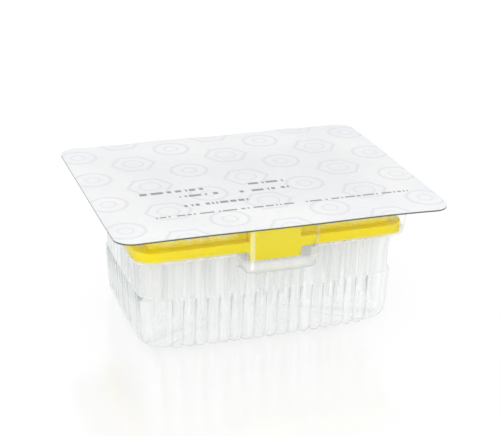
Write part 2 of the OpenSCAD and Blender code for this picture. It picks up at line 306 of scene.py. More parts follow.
def swell(u, half_width, depth):
    """Height of a shallow arc over its ends."""
    depth = max(depth, 1e-4)
    r = (half_width ** 2 + depth ** 2) / (2 * depth)
    return np.sqrt(np.maximum(r * r - (half_width * u) ** 2, 0)) - r + depth


print("points along a long side:", len(side_places(long_fluted, long_flutes)[0]) + 2 * plain_points)


# %% One side of the tray at one height
# the painted shade of a valley starts at this share
valley_from = 0.82            # share of a flute's half width where its fold begins


def side_points(half, edge, bulge, fluted, count, plain, valley, peak, tall=None):
    """Points along a side that faces -Y. plain, valley and peak say how far
    the plain wall, the valleys and the crests stand inside the line "edge";
    tall says it for the valleys and crests of the tall flutes."""
    xs, us, which, pitch = side_places(fluted, count)
    inset_v = np.full(len(xs), float(valley))
    inset_p = np.full(len(xs), float(peak))
    if tall is not None:
        mask = which < tall_flutes / 2
        inset_v[mask], inset_p[mask] = tall
    depth = inset_v - inset_p
    lift = np.array([swell(u, pitch / 2, d) for u, d in zip(us, depth)])
    ends = np.linspace(fluted + 0.25, half, plain_points)
    flat = np.full(plain_points, plain)
    x = np.concatenate([-ends[::-1], xs, ends])
    y = np.concatenate([flat, inset_v - lift, flat]) - edge
    y -= bulge * (1 - (x / half) ** 2)
    painted_shade = np.zeros(len(x))
    painted_shade[plain_points:-plain_points] = np.clip((np.abs(us) - valley_from) / (1 - valley_from), 0, 1)
    return np.stack([x, y, painted_shade], 1)


crest = swell(0, long_fluted / long_flutes, flute_depth)
print("a long flute's crest stands", round(float(crest), 2), "mm over its valleys")


# %% [markdown]
# ## The pocket, the corners and a little chance
#
# In the middle of the front, fingers reach into a pocket to lift the plate by
# its tab. A ring that passes it swaps its middle points for the same number of
# points round the pocket, so the mesh stays regular. Formed plastic is never
# quite even, so each point round the tray also draws a random share that is the
# same at every height: it becomes the upright streaks left by drawing the sheet.

# %% Pocket, corners and streaks
pocket_bow = 0.4              # how far the pocket's front bows out, in mm
turn_points = 14              # points round each corner of the pocket


def pocket_path(half, front, r, edge, n):
    """n points from the wall round the pocket's front and back to the wall."""
    left_turn, right_turn = np.radians(np.linspace((180, 270), (270, 360), turn_points)).T
    p = np.concatenate([
        [[-half, -edge]],
        np.stack([r - half + r * np.cos(left_turn), r - front + r * np.sin(left_turn)], 1),
        np.stack([half - r + r * np.cos(right_turn), r - front + r * np.sin(right_turn)], 1),
        [[half, -edge]]])
    run = np.concatenate([[0], np.cumsum(np.hypot(*np.diff(p, axis=0).T))])
    t = np.linspace(0, run[-1], n)
    x, y = np.interp(t, run, p[:, 0]), np.interp(t, run, p[:, 1])
    y -= pocket_bow * np.clip(1 - (x / (half - r)) ** 2, 0, 1) * (y < r - front)
    return np.stack([x, y, np.zeros(n)], 1)


corner_steps = 10             # a corner has one point less than this


def corner_points(cx, cy, r, start):
    a = np.radians(start + 90 * np.arange(1, corner_steps) / corner_steps)
    return np.stack([cx + r * np.cos(a), cy + r * np.sin(a), 0 * a], 1)


def turned(points, degrees):
    a = math.radians(degrees)
    m = np.array([[math.cos(a), math.sin(a), 0], [-math.sin(a), math.cos(a), 0], [0, 0, 1]])
    return points @ m


streak_seed, wrinkle_seed = 3, 5


def drawn(n, seed):
    """Soft random shares, one for each of n points round a ring."""
    r = np.random.default_rng(seed).random(n)
    return 0.25 * np.roll(r, 1) + 0.5 * r + 0.25 * np.roll(r, -1)


some = drawn(400, streak_seed)
print("streaks run from", some.min().round(2), "to", some.max().round(2))


# %% [markdown]
# ## Painted shade in the folds, haze and painted highlights
#
# Two numbers travel with every point into the material. The first is painted
# shade: it paints the grey lines of the folds, strongest in the lower valleys and
# on the left end, where they are seen along the wall. Below zero it does the
# opposite and keeps a face free of the painted edge shade. The second is the
# haze: drawn plastic turns milky where it was stretched most, so it is strong low
# down and weak just above the shelf. It also carries painted highlights, a white
# band along the shelf and one down the pocket's left corner. They could be
# painted by hand, but a rule by height and side is easy to adjust.

# %% Painted shade in the folds of a ring
line_heights = (0.4, 3, 12, 19, 23.6, 24.2)
line_shares = (0.1, 0.7, 0.6, 1, 1.2, 0)
left_lines, right_lines, rear_lines = 1.15, 0.4, 0.3
left_spread = 0.5             # how much of a left fold its neighbours take
upper_left_lines, tall_lines, ledge_line = 1.05, 0.6, 0.4
low_wrinkles, high_wrinkles = 0.2, 0.5
crest_relief, ledge_relief = -0.6, -1.0
faint = 0.3                   # folds under this count as none
foot_z, waist_top = 3, 42     # where the wall leaves the floor and nears the shelf


def ring_painted_shade(z, points, sides, has_pocket):
    """Painted shade at each point of a ring, in its folds. sides is 1 on the long
    sides, 2 on the short ones and 0 at the corners."""
    left = (sides == 2) & (points[:, 0] < 0)
    painted_shade = points[:, 2]
    beside = np.maximum(np.roll(painted_shade, 1), np.roll(painted_shade, -1))
    painted_shade = np.where(left, np.maximum(painted_shade, left_spread * beside), painted_shade)
    line = painted_shade * (sides > 0) * np.interp(z, line_heights, line_shares)
    line *= np.where(sides == 2, np.where(left, left_lines, right_lines), 1.0)
    line *= np.where((sides == 1) & (points[:, 1] > 0), rear_lines, 1.0)
    if z > step_z and not has_pocket:
        front = (sides == 1) & (points[:, 1] < 0)
        under = np.abs(points[:, 0]) < long_fluted * tall_flutes / long_flutes
        line = np.where(front, tall_lines * painted_shade * under, line)
    if step_z < z < waist_top:
        line = np.maximum(line, upper_left_lines * painted_shade * left)
    if step_z - 0.7 < z < step_z + 0.4:
        line = np.maximum(line, ledge_line * left)
    if step_z - 0.7 < z < step_z + 0.6:
        # a painted dark dash of shade where the step turns the front left corner
        line[-corner_steps + 1:-corner_steps + 4] = 1.0
    if foot_z < z < waist_top + 1:
        fine = np.clip((drawn(len(points), wrinkle_seed) - 0.55) / 0.3, 0, 1)
        strength = high_wrinkles if z > step_z + 0.5 else low_wrinkles
        line = np.maximum(line, strength * fine * (sides == 1))
    if step_z < z < step_z + 0.8:
        line = np.where(left | (line > faint), line, ledge_relief)
    if foot_z < z < waist_top:
        line = np.where(left & (line < faint), crest_relief, line)
    return line


print("folds are darkest at", line_heights[int(np.argmax(line_shares))], "mm")


# %% Haze and painted highlights of a ring
# The rise along the shelf, round 43.7 mm, is a painted highlight; the rest is haze
haze_heights = (0, 1, 3, 22, 30, 41, 42.8, 43.7, 44.6, 45.4, 51, 53, 62)
haze_and_highlight_shares = (0.4, 0.55, 0.7, 0.75, 0.8, 0.8, 0.9, 1.1, 0.5, 0.05, 0.05, 0.42, 0.45)
left_haze = 1.1
pocket_heights = (37, 38.4, 39, 42, 44, 61)
pocket_shares = (0.5, 0.5, 0.8, 0.8, 0.05, 0.1)
# painted shade along the pocket's foot and its two sides, strong on the right
pocket_foot_line = 0.7
pocket_side_lines = (0.1, 0.9)                    # its left and its right side


def ring_haze_and_highlight(z, points, sides):
    share = drawn(len(points), streak_seed)
    haze_and_highlight = np.full(len(points), np.interp(z, haze_heights, haze_and_highlight_shares))
    haze_and_highlight *= 0.5 + share if z < 45 else 2 * share ** 1.2
    haze_and_highlight[(sides == 2) & (points[:, 0] < 0)] *= left_haze
    return haze_and_highlight


def finish_pocket(z, points, inside, line, haze_and_highlight):
    """Haze of the pocket, where the plastic is drawn furthest, with a painted
    highlight down its left corner and painted shade along its foot and sides.
    """
    x, y = points[:, 0], points[:, 1]
    out = inside & (y < -base_y - 3)
    haze_and_highlight[out] = np.interp(z, pocket_heights, pocket_shares)
    # a painted highlight down the pocket's left corner
    painted_corner_highlight = inside & (x > -14.4) & (x < -12.6) & (y < -pocket_front + 2)
    haze_and_highlight[painted_corner_highlight] += 0.6 if z > 39 else 0.1
    if z < pocket_z + pocket_round + 0.1:
        line[out] = pocket_foot_line
    line[np.flatnonzero(inside)[[0, -1]]] = pocket_side_lines


print("haze at 20 mm:", np.interp(20, haze_heights, haze_and_highlight_shares).round(2))


# %% [markdown]
# ## One ring of the tray
#
# A ring joins four sides and four corners at one height. How far its plain wall,
# valleys and crests stand back is all that changes from one ring to the next, so
# a single function can draw the floor's edge, the fluted wall and the flange.

# %% One ring of the tray
def ring(z, plain, valley, peak, share=1.0, tall=None, pocket=None):
    """A ring at height z. share says how much the walls bow out there, and
    pocket how far the pocket's wall stands inside its outline."""
    cx, cy = base_x - plain - corner_r, base_y - plain - corner_r
    insets = dict(plain=plain, valley=valley, peak=peak)
    long_side = dict(half=cx, edge=base_y, bulge=long_bulge * share, fluted=long_fluted,
                     count=long_flutes, **insets)
    short = side_points(cy, base_x, short_bulge * share, short_fluted, short_flutes, **insets)
    rear = side_points(**long_side)
    front = side_points(**long_side, tall=tall)
    inside = np.abs(front[:, 0]) <= long_fluted * pocket_flutes / long_flutes + 1e-6
    if pocket is not None:
        s = (z - pocket_z) / (flange_z - pocket_z)
        half = pocket_half + pocket_draft * s - pocket
        depth = pocket_front + pocket_draft * s / 4 - pocket
        edge = -front[inside][0, 1]
        front[inside] = pocket_path(half, depth, pocket_r - pocket, edge, inside.sum())
    parts = [(front, 1), (corner_points(cx, -cy, corner_r, 270), 0),
             (turned(short, 90), 2), (corner_points(cx, cy, corner_r, 0), 0),
             (turned(rear, 180), 1), (corner_points(-cx, cy, corner_r, 90), 0),
             (turned(short, 270), 2), (corner_points(-cx, -cy, corner_r, 180), 0)]
    points = np.concatenate([p for p, side in parts])
    sides = np.concatenate([np.full(len(p), side) for p, side in parts])
    line = ring_painted_shade(z, points, sides, pocket is not None)
    haze_and_highlight = ring_haze_and_highlight(z, points, sides)
    if pocket is not None:
        rest = np.zeros(len(points) - len(front), bool)
        finish_pocket(z, points, np.append(inside, rest), line, haze_and_highlight)
    return np.column_stack([points[:, :2], np.full(len(points), z), line, haze_and_highlight])


print("a ring has", len(ring(step_z, 0, flute_depth, 0)), "points")


# %% [markdown]
# ## The lower wall and its step
#
# The floor's edge is a quarter round that the crests follow more closely than
# the valleys, so each flute ends in a rounded foot. The lower wall leans out a
# little, as any wall must to leave its mould. Just below the step the valleys
# run out, and the wall steps back.

# %% Rings of the lower wall and the step
def lower_rings():
    for a in np.radians([0, 12, 24, 36, 48, 60, 75, 90]):
        off = 1 - math.sin(a)
        inset = floor_round * off + draft
        z = floor_round * (1 - math.cos(a))
        crest = inset - 0.45 * floor_round * off * min(1, a / 0.3)
        valley = inset + flute_depth * (0.3 if a == 0 else min(1, 0.6 + a))
        yield ring(z, inset, valley, crest)
    for z in (10, 14.5, 19, 22.2):
        k = draft * (1 - (z - floor_round) / (step_z - floor_round))
        yield ring(z, k, k + flute_depth, k)


def step_rings():
    """Each has a height, and how far plain wall, valleys and crests stand back."""
    for z, plain, valley, peak in ((22.9, 0.02, 1.3, 0.05), (23.4, 0.02, 1.05, 0.15),
                                   (23.8, 0.03, 0.8, 0.3), (24.1, 0.12, 0.7, 0.45),
                                   (24.35, 0.35, 0.7, 0.6), (24.5, 0.6, 0.75, 0.72),
                                   (24.7, step_in, step_in, step_in)):
        yield ring(z, plain, valley, peak, tall=(step_in, 0.05))


rings = [*lower_rings(), *step_rings()]
print("rings up to the step:", len(rings), "with", len(rings[0]), "points each")


# %% [markdown]
# ## The waist, the shelf and the upper wall
#
# Above the step the wall flares out to the shelf, and the tall flutes run on up
# to the pocket's floor. From there on every ring goes round the pocket. The
# shelf is drawn with close rings, because its two bends are tight, and above it
# the wall leans out to the flange.

# %% Rings above the step
def flare_at(z):
    return 0 if z < flare_z else flare * ((z - flare_z) / (shelf_z - flare_z)) ** 2


def waist_ring(z, pocket=None):
    k = step_in - flare_at(z)
    tall = (k, k - step_in) if pocket is None else None
    return ring(z, k, k, k, share=1 - 0.5 * flare_at(z) / flare, tall=tall, pocket=pocket)


def upper_ring(z, out, pocket=0):
    """A ring that stands out from the wall above the step."""
    k = step_in - out
    return ring(z, k, k, k, share=0.5, pocket=pocket)


def waist_rings():
    for z in (26, 28, 30, 32, 34, 35.5, 36.4, 36.9):
        yield waist_ring(z)
    for a in np.radians([0, 22, 45, 67, 90]):
        z = pocket_z + pocket_round * (1 - math.cos(a))
        yield waist_ring(z, pocket_round * (1 - math.sin(a)))
    for z in (39.6, 40.6, 41.6, 42.4):
        yield waist_ring(z, 0)


def shelf_rings():
    low, top = shelf_z - wall, flange_z - wall
    for z, out in ((low - 0.15, flare + 0.05), (low, flare + 0.3), (low, reach - 0.8),
                   (low + 0.1, reach - 0.4), (low + 0.4, reach - 0.1), (low + 0.8, reach)):
        yield upper_ring(z, out)
    for z in (44.6, 45.4, 49, 51, 53, 57, top - 0.8):
        yield upper_ring(z, reach + upper_draft * (z - shelf_z) / (flange_z - shelf_z))
    for z, turn_out in ((top - 0.25, 0.2), (top, 0.8)):
        yield upper_ring(z, reach + upper_draft + turn_out, pocket=-turn_out)


rings += [*waist_rings(), *shelf_rings()]
print("rings up to the flange:", len(rings))


# %% [markdown]
# ## Flange and its soft waves
#
# The flange is the part of the sheet that was never drawn down, so it is flat
# apart from slight waves left by the heat seal. The printed sheet is sealed to
# it and follows the same waves, so both use one height function. A displacement
# texture could do the same, but two meshes would then have to agree on it.

# %% The wave
corner_dip, edge_dip, rear_dip, seal_dip = 1.1, 0.42, 0.8, 0.02      # in mm


def wave(x, y):
    """How far the flange and the sheet dip at a place, in millimetres."""
    u, v = x / flange_x, y / flange_y
    front_corner = np.clip(u, 0, 1) ** 3 * np.clip(-v, 0, 1) ** 3
    edge = np.maximum(np.abs(u), np.abs(v)) ** 6
    ripple = 0.5 + 0.25 * np.sin(5.2 * u + 1.1) + 0.25 * np.sin(4.1 * v - 3.3 * u)
    ripple *= 1 - 0.8 * np.clip(-u, 0, 1) * np.clip(v, 0, 1)
    rear = np.clip(v, 0, 1) ** 6 * (0.25 + 0.17 * np.sin(9.0 * u + 0.6) + 0.08 * np.sin(21 * u))
    return -corner_dip * front_corner - edge_dip * edge * ripple - rear_dip * rear - seal_dip


print("dip at the front right corner, mm:", wave(flange_x, -flange_y).round(2))


# %% Flange rings
evenness = 0.05               # how far the flange's points spread out evenly
edge_up = 0.1                 # how far the trimmed edge reaches above the flange
lip_share = 0.97              # its upper side ends here, under the printed sheet


def flange_outline(template):
    """The flange's outline, with a point for each point of the wall's top ring."""
    cx, cy = flange_x - flange_r, flange_y - flange_r
    n = len(side_places(long_fluted, long_flutes)[0]) + 2 * plain_points
    m = len(side_places(short_fluted, short_flutes)[0]) + 2 * plain_points
    out, k = [], 0
    for count, axis, half, edge, start, sign in (
            (n, 0, cx, -flange_y, 270, (1, -1)), (m, 1, cy, flange_x, 0, (1, 1)),
            (n, 0, cx, flange_y, 90, (-1, 1)), (m, 1, cy, -flange_x, 180, (-1, -1))):
        along = template[k:k + count, axis]
        along = along / np.abs(along).max() * half
        even = np.linspace(along[0], along[-1], count)
        along = (1 - evenness) * along + evenness * even
        flat = np.full(count, edge)
        out.append(np.stack([along, flat, flat] if axis == 0 else [flat, along, flat], 1))
        out.append(corner_points(sign[0] * cx, sign[1] * cy, flange_r, start))
        k += count + len(out[-1])
    return np.concatenate(out)


def flange_rings(inner):
    outline = flange_outline(inner)
    found = []
    for s in (0.12, 0.28, 0.45, 0.62, 0.78, 0.9, 0.97, 1.0):
        p = inner[:, :2] * (1 - s) + outline[:, :2] * s
        found.append(np.column_stack([p, inner[:, 2:]]))
    edge = found[-1].copy()
    edge[:, 2] = flange_z + edge_up
    lip = edge.copy()
    lip[:, :2] *= lip_share
    return [*found, edge, lip]


flange = flange_rings(rings[-1])
rings += flange
for r in [rings[-len(flange) - 1], *flange]:
    r[:, 2] += wave(r[:, 0], r[:, 1])
print("tray rings with the flange:", len(rings))


# %% [markdown]
# ## From rings to a mesh
#
# Each ring joins the next with a band of quads. The floor is closed by smaller
# copies of the first ring and one face in the middle. The two values are stored
# as named attributes, which a material can read.

# %% Turn rings into the tray
def ring_mesh(name, rings, floor_shares=(0.2, 0.5, 0.8)):
    first = rings[0]
    middle = [np.column_stack([first[:, :2] * s, first[:, 2:]]) for s in floor_shares]
    stack = middle + list(rings)
    n = len(first)
    everything = np.concatenate(stack)
    faces = [tuple(range(n - 1, -1, -1))]
    for k in range(len(stack) - 1):
        a, b = k * n, (k + 1) * n
        faces += [(a + i, a + (i + 1) % n, b + (i + 1) % n, b + i) for i in range(n)]
    mesh = bpy.data.meshes.new(name)
    mesh.from_pydata((everything[:, :3] / 1000).tolist(), [], faces)
    mesh.validate()
    mesh.update()
    for column, label in ((3, "painted_shade"), (4, "stretch")):
        values = mesh.attributes.new(label, "FLOAT", "POINT")
        values.data.foreach_set("value", everything[:, column].astype(np.float32))
    obj = bpy.data.objects.new(name, mesh)
    bpy.context.scene.collection.objects.link(obj)
    return obj


def smooth(mesh, sharp_degrees=None):
    for polygon in mesh.polygons:
        polygon.use_smooth = True
    if sharp_degrees:
        mesh.set_sharp_from_angle(angle=math.radians(sharp_degrees))


tray = ring_mesh("formed_tray", rings)
smooth(tray.data, 70)
around = len(rings[0])
for polygon in list(tray.data.polygons)[-2 * around:-around]:
    polygon.material_index = 1      # the trimmed edge has a material of its own
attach(tray, "root")
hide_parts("tray")
print("tray skin:", len(tray.data.polygons), "faces")


# %% [markdown]
# ## Clear formed plastic
#
# The tray is amorphous PET, formed from a clear sheet: glossy, almost
# colourless, faintly milky where it was stretched. Glass with real refraction
# would be truer for a thick block, but through eight rows of tips it turns noisy
# and dark. A thin sheet mostly lets light pass straight, so the surface is see
# through where it faces the eye and closes towards its outline, where the eye
# looks through more plastic. The grey that clear plastic shows where it bends
# light away is painted shade here, along the outline and in the folds.

# %% Haze, painted highlights and painted shade lines
haze_mm = 7.143                       # width of a cloud in the haze
upright_share = 0.12                  # drawn plastic clouds in tall, narrow streaks


def haze_and_lines(m, facing, painted_shade):
    """The clouds, the haze they make with its painted highlights, the faces that
    a painted shade below zero keeps free, and the painted shade: dark lines along
    outlines and folds."""
    stretch = add(m, "ShaderNodeAttribute", attribute_name="stretch")
    place = add(m, "ShaderNodeTexCoord")
    upright = add(m, "ShaderNodeMapping", {
        "Vector": place.outputs["Object"], "Scale": (1.0, 1.0, upright_share)})
    clouds = add(m, "ShaderNodeTexNoise", {
        "Vector": upright.outputs[0], "Scale": 1000 / haze_mm, "Detail": 1.5,
        "Roughness": 0.4})
    milk = add(m, "ShaderNodeMapRange", {
        "Value": clouds.outputs["Fac"], "From Min": 0.3, "From Max": 0.7,
        "To Min": 0.38, "To Max": 0.46})
    haze_and_highlight = add(m, "ShaderNodeMath", {0: milk.outputs[0], 1: stretch.outputs["Fac"]},
               operation="MULTIPLY")
    # painted shade along the outline, where the surface is seen edge-on
    edge = add(m, "ShaderNodeMapRange", {
        "Value": facing, "From Min": 0.74, "From Max": 0.98, "To Min": 0.0, "To Max": 0.6})
    free = add(m, "ShaderNodeMath", {0: painted_shade, 1: 1.0}, operation="ADD", use_clamp=True)
    rim = add(m, "ShaderNodeMath", {0: edge.outputs[0], 1: free.outputs[0]},
              operation="MULTIPLY")
    # painted shade in the folds
    thin = add(m, "ShaderNodeMath", {0: painted_shade, 1: 3.0}, operation="POWER")
    crease_painted_shade = add(m, "ShaderNodeMath", {0: thin.outputs[0], 1: 0.8}, operation="MULTIPLY")
    dark = add(m, "ShaderNodeMath", {0: rim.outputs[0], 1: crease_painted_shade.outputs[0]},
               operation="MAXIMUM")
    return clouds.outputs["Fac"], haze_and_highlight.outputs[0], free.outputs[0], dark.outputs[0]


# %% Body of the plastic
def plastic_body(m, painted_shade, haze_and_highlight, dark):
    """See-through, apart from white haze with its painted highlights, and grey
    lines of painted shade.
    """
    alpha = add(m, "ShaderNodeMath", {0: dark, 1: haze_and_highlight}, operation="ADD")
    # grey of the painted shade: lighter along the outline, darker in the folds
    grey = add(m, "ShaderNodeMix", {
        "Factor": painted_shade, "A": colour("#C6CDCB"), "B": colour("#8F9A99")}, data_type="RGBA")
    ratio = add(m, "ShaderNodeMath", {0: dark, 1: alpha.outputs[0]}, operation="DIVIDE")
    tint = add(m, "ShaderNodeMix", {
        "Factor": ratio.outputs[0], "A": colour("#F0F3F4"), "B": grey.outputs["Result"]},
        data_type="RGBA")
    milky = add(m, "ShaderNodeBsdfPrincipled", {
        "Base Color": tint.outputs["Result"], "Roughness": 0.5, "IOR": 1.57,
        "Specular IOR Level": 0.2})
    clear = add(m, "ShaderNodeBsdfTransparent")
    return add(m, "ShaderNodeMixShader", {
        "Fac": alpha.outputs[0], 1: clear.outputs[0], 2: milky.outputs[0]}).outputs[0]


# %% Gloss of the plastic
dent_mm = 11.11                       # width of a shallow dent from the mould


def plastic_gloss(m, clouds):
    """A mirror of the lamps, a little bent by dents and blurred by haze."""
    dents = add(m, "ShaderNodeTexNoise", {"Scale": 1000 / dent_mm, "Detail": 2.0})
    bump = add(m, "ShaderNodeBump", {
        "Height": dents.outputs["Fac"], "Strength": 0.02, "Distance": 0.0004})
    blur = add(m, "ShaderNodeMapRange", {"Value": clouds, "To Min": 0.15, "To Max": 0.3})
    return add(m, "ShaderNodeBsdfAnisotropic", {
        "Color": colour("#FFFFFF"), "Roughness": blur.outputs[0],
        "Normal": bump.outputs[0]}).outputs[0]


# %% Tray material
def make_tray_plastic():
    m = new_material("thermoformed clear PET")
    facing = add(m, "ShaderNodeLayerWeight", {"Blend": 0.5}).outputs["Facing"]
    painted_shade = add(m, "ShaderNodeAttribute", attribute_name="painted_shade").outputs["Fac"]
    clouds, haze_and_highlight, free, dark = haze_and_lines(m, facing, painted_shade)
    body = plastic_body(m, painted_shade, haze_and_highlight, dark)
    mirror = plastic_gloss(m, clouds)
    sheen = add(m, "ShaderNodeMath", {0: facing, 1: free}, operation="MULTIPLY")
    steep = add(m, "ShaderNodeMath", {0: sheen.outputs[0], 1: 4.0}, operation="POWER")
    share = add(m, "ShaderNodeMapRange", {
        "Value": steep.outputs[0], "To Min": 0.008, "To Max": 0.4})
    shader = add(m, "ShaderNodeMixShader", {"Fac": share.outputs[0], 1: body, 2: mirror})
    return finish_material(m, shader.outputs[0])


tray.data.materials.append(make_tray_plastic())


# %% [markdown]
# ## The trimmed edge
#
# Where the formed sheet is sheared to size, the eye looks along it through
# centimetres of plastic, so a clear sheet has a dark grey-green edge with fine
# streaks from the blade.

# %% Edge material
streak_mm = 2.5                       # from one streak of the blade to the next


def make_cut_edge():
    m = new_material("sheared PET edge")
    streaks = add(m, "ShaderNodeTexNoise", {"Scale": 1000 / streak_mm, "Detail": 2.0})
    shade = add(m, "ShaderNodeMix", {
        "Factor": streaks.outputs["Fac"], "A": colour("#3A4642"), "B": colour("#56635E")},
        data_type="RGBA")
    shader = add(m, "ShaderNodeBsdfPrincipled", {
        "Base Color": shade.outputs["Result"], "Roughness": 0.3, "IOR": 1.57})
    return finish_material(m, shader.outputs[0])


tray.data.materials.append(make_cut_edge())


# %% [markdown]
# ## The lidding sheet
#
# The lid is a spun-bonded polyethylene sheet with a peelable seal. Cloth
# simulation would suit a loose sheet, but this one is sealed all round, so it is
# a plain grid that follows the flange's wave. Its square corners are drawn in to
# the round ones.

# %% Sheet mesh
columns, rows = 96, 78
sheet_drop = 0.02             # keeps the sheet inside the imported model's box


def sheet_point(u, v):
    x, y = u * flange_x, v * flange_y
    cx, cy = flange_x - flange_r, flange_y - flange_r
    dx, dy = max(abs(x) - cx, 0), max(abs(y) - cy, 0)
    if dx > 0 and dy > 0:
        scale = max(dx, dy) / math.hypot(dx, dy)
        x = math.copysign(cx + dx * scale, x)
        y = math.copysign(cy + dy * scale, y)
    return x, y, sheet_top - sheet_drop + wave(x, y)


def make_sheet():
    verts = [sheet_point(u, v) for v in np.linspace(-1, 1, rows)
             for u in np.linspace(-1, 1, columns)]
    faces = [(k, k + 1, k + columns + 1, k + columns)
             for j in range(rows - 1) for k in range(j * columns, (j + 1) * columns - 1)]
    mesh = bpy.data.meshes.new("printed_sheet")
    mesh.from_pydata((np.array(verts) / 1000).tolist(), [], faces)
    smooth(mesh)
    sheet = bpy.data.objects.new("printed_sheet", mesh)
    bpy.context.scene.collection.objects.link(sheet)
    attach(sheet, "root")
    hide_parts("lidding_sheet")
    print("sheet:", len(faces), "faces")
    return sheet


sheet = make_sheet()


# %% [markdown]
# ## The print
#
# The sheet is white, matt and faintly fibrous. It carries a pale grey-violet
# print of hexagons and rings, and plain broken bars where such packs state what
# they hold. The material draws the print from the sheet's own coordinates in
# millimetres, so it needs no picture: a line is a soft band round a distance,
# and a repeat is a coordinate that wraps round.

# %% Masks for a print
bleed, fill = 0.25, 0.1               # ink fades from inside a line's side to outside


def band(m, value, place, width):
    """1 where a value is within half a width of a place, with soft sides."""
    off = add(m, "ShaderNodeMath", {0: value, 1: place}, operation="SUBTRACT")
    away = add(m, "ShaderNodeMath", {0: off.outputs[0]}, operation="ABSOLUTE")
    return add(m, "ShaderNodeMapRange", {
        "Value": away.outputs[0], "From Min": width / 2 + bleed, "From Max": width / 2 - fill,
        "To Min": 0.0, "To Max": 1.0}).outputs[0]


def strongest(m, masks):
    best = masks[0]
    for mask in masks[1:]:
        best = add(m, "ShaderNodeMath", {0: best, 1: mask}, operation="MAXIMUM").outputs[0]
    return best


print("printed lines fade over", bleed + fill, "mm")


# %% Hexagons and rings
pitch_x, pitch_y = 44.0, 30.0                     # of each diagonal grid of motifs
thick, slim = 1.3, 0.7                            # widths of the printed lines
hexagon_reach, hexagon_dot = 8.6, 4.6             # radii of the two lines of a motif
ring_reach, ring_dot = 8.0, 3.2


def repeat(m, mm, shift):
    """Place within one cell of a grid, as a flat vector."""
    moved = add(m, "ShaderNodeVectorMath", {0: mm, 1: shift}, operation="ADD")
    far = 1000                                    # no repeat along the height
    cell = add(m, "ShaderNodeVectorMath", {
        0: moved.outputs[0], 1: (pitch_x / 2, pitch_y / 2, far),
        2: (-pitch_x / 2, -pitch_y / 2, -far)}, operation="WRAP")
    flat = add(m, "ShaderNodeVectorMath", {0: cell.outputs[0], 1: (1, 1, 0)},
               operation="MULTIPLY")
    return flat.outputs[0]


def motif_mask(m, mm):
    cell = repeat(m, mm, (0, 0, 0))
    size = add(m, "ShaderNodeVectorMath", {0: cell}, operation="ABSOLUTE")
    slope = add(m, "ShaderNodeVectorMath", {0: size.outputs[0], 1: (0.866, 0.5, 0)},
                operation="DOT_PRODUCT")
    height = add(m, "ShaderNodeVectorMath", {0: size.outputs[0], 1: (0, 1, 0)},
                 operation="DOT_PRODUCT")
    hexagon = strongest(m, [slope.outputs["Value"], height.outputs["Value"]])
    inner = add(m, "ShaderNodeVectorMath", {0: cell}, operation="LENGTH").outputs["Value"]
    between = repeat(m, mm, (pitch_x / 2, pitch_y / 2, 0))
    circle = add(m, "ShaderNodeVectorMath", {0: between}, operation="LENGTH").outputs["Value"]
    return strongest(m, [
        band(m, hexagon, hexagon_reach, thick), band(m, inner, hexagon_dot, slim),
        band(m, circle, ring_reach, thick), band(m, circle, ring_dot, slim)])


print("hexagons every", pitch_x, "by", pitch_y, "mm, with rings between them")


# %% Broken bars
bar_rows = ((-51, -22, -9.0, 2.2), (-4, 16, -9.0, 2.0), (-35, -18, -15.6, 2.0),
            (-9, 14, -17.0, 2.0), (-36, -8, -26.3, 2.2), (-51, 62, -36.0, 1.2))
block = 0.9                                       # length of one printed block
gap_share = 0.3                                   # share of blocks left out


def bar_mask(m, mm):
    """Rows of blocks. A row has its ends, its middle and its height in mm."""
    axes = add(m, "ShaderNodeSeparateXYZ", {"Vector": mm})
    x, y = axes.outputs["X"], axes.outputs["Y"]
    bars = []
    for k, (left, right, middle, height) in enumerate(bar_rows):
        moved = add(m, "ShaderNodeMath", {0: x, 1: 200.0 + 37 * k}, operation="ADD")
        blocks = add(m, "ShaderNodeMath", {0: moved.outputs[0], 1: 1 / block},
                     operation="MULTIPLY")
        whole = add(m, "ShaderNodeMath", {0: blocks.outputs[0]}, operation="FLOOR")
        chance = add(m, "ShaderNodeTexWhiteNoise", {"W": whole.outputs[0]},
                     noise_dimensions="1D")
        inked = add(m, "ShaderNodeMath", {0: chance.outputs["Value"], 1: gap_share},
                    operation="GREATER_THAN")
        row = inked.outputs[0]
        for mask in (band(m, y, middle, height), band(m, x, (left + right) / 2, right - left)):
            row = add(m, "ShaderNodeMath", {0: row, 1: mask}, operation="MULTIPLY").outputs[0]
        bars.append(row)
    return strongest(m, bars)


print("bars:", len(bar_rows), "rows")


# %% Sheet material
# Bundles of fibre, coarser than real ones so that they show, over broad shades
fibre_mm, shade_mm = 2.857, 33.33
motif_ink, bar_ink = 0.65, 0.75


